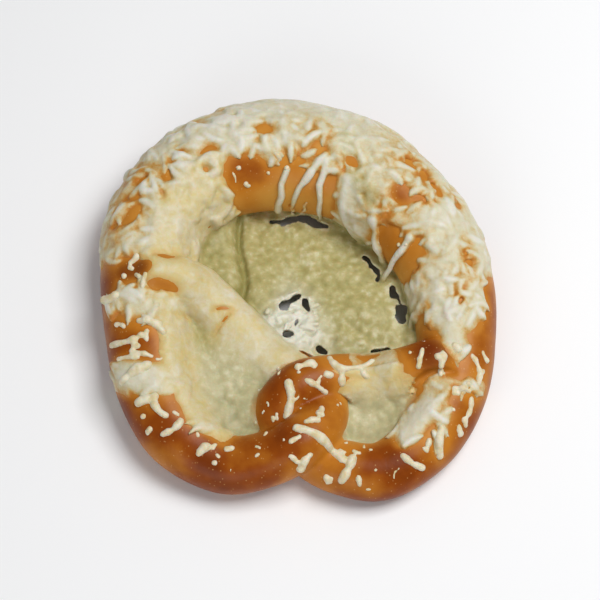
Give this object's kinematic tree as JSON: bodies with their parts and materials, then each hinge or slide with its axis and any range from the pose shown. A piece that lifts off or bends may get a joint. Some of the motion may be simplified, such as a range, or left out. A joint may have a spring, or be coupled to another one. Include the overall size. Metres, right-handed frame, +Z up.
{
  "type": "cheese pretzel",
  "caption": "Soft baked pretzel with a thick belly, a twisted front and thin arms, under melted cheese that also closes its windows.",
  "frame": {"origin": "middle of the box at the level of the base, where the pretzel rests", "axes": "+Z up, +Y from the twist towards the belly, +X to the right as seen from the twist's side"},
  "size_m": [0.1487, 0.1584, 0.0388],
  "materials": {
    "crust": "glossy browned lye crust, lighter orange near the cheese",
    "melted_cheese": "cream half-melted grated cheese, satin",
    "bubbled_cheese": "pale yellow melted cheese with bubbles and folds, satin"
  },
  "bodies": {
    "root": {"pretzel": "crust", "cheese_blanket": "melted_cheese", "cheese_web_centre": "bubbled_cheese", "cheese_web_left": "bubbled_cheese", "cheese_web_right": "bubbled_cheese"}
  },
  "joints": []
}
